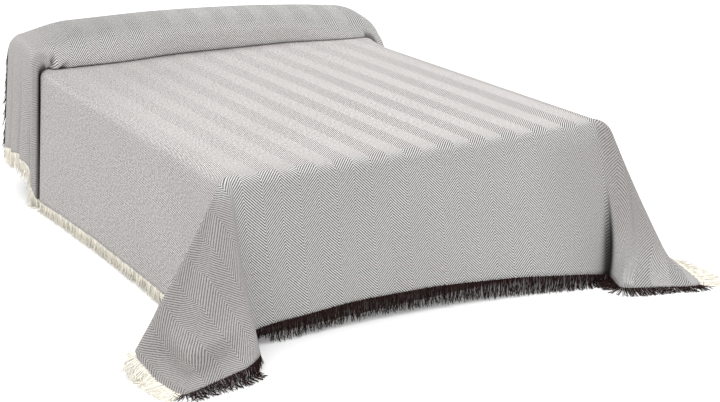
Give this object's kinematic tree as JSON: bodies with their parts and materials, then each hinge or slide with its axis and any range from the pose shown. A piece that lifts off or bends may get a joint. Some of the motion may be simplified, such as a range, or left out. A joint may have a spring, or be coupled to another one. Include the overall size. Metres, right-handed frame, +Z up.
{
  "type": "bedspread on a bed: mattress, bed base and bolster",
  "caption": "Woven bedspread with fringed hems, tucked under a long pillow and falling over the sides and foot of a double bed, with corners that flare onto the floor.",
  "frame": {"origin": "on the floor under the middle of the bed base", "axes": "+Z up, +Y from the foot of the bed to its head, +X to the right of someone who stands at the foot and faces the head"},
  "size_m": [2.1458, 2.5776, 0.721],
  "materials": {
    "woven_cloth": "matt herringbone weave of cream and dark brown yarn",
    "dark_yarn": "matt loose yarn",
    "cream_yarn": "matt loose yarn",
    "ticking": "matt closely woven cotton",
    "base_cloth": "matt upholstery cloth"
  },
  "bodies": {
    "root": {"bedspread": "woven_cloth", "fringe_foot": "dark_yarn", "fringe_head": "dark_yarn", "fringe_left": "cream_yarn", "fringe_right": "cream_yarn", "bolster": "ticking", "mattress": "ticking", "bed_base": "base_cloth"}
  },
  "joints": []
}
